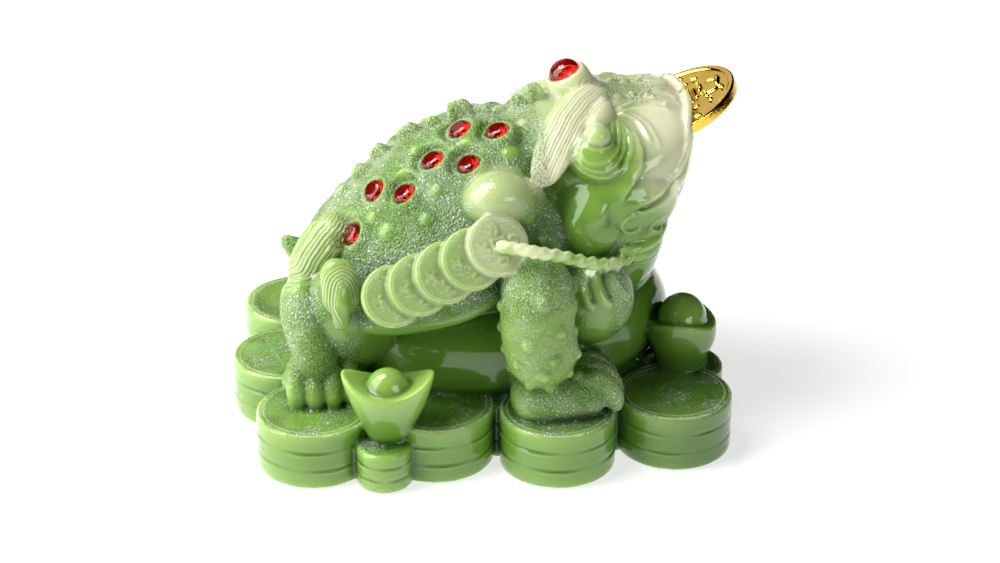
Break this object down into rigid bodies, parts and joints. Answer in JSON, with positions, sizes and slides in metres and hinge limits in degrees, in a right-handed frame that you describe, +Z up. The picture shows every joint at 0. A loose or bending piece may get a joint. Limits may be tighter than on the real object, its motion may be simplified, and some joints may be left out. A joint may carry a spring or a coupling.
{
  "type": "money toad figure",
  "caption": "Sculpted money toad holding a coin in its mouth, sitting on stacked coins with ingots, cast in imitation jade with set red stones, for display on a desk or shelf.",
  "frame": {"origin": "on the underside, under the middle of the whole figure", "axes": "+X the way the toad looks, +Y its left side, +Z up"},
  "size_m": [0.1442, 0.118, 0.1019],
  "materials": {
    "imitation_jade": "polished cast resin, cloudy pale green",
    "gold_coin": "polished gold plating",
    "red_stone": "polished red glass"
  },
  "bodies": {
    "root": {"toad_casting": "imitation_jade", "mouth_coin": "gold_coin", "crown_cabochon": "red_stone", "back_stone_1": "red_stone", "back_stone_2": "red_stone", "back_stone_3": "red_stone", "back_stone_4": "red_stone", "back_stone_5": "red_stone", "back_stone_6": "red_stone", "back_stone_7": "red_stone"}
  },
  "joints": []
}
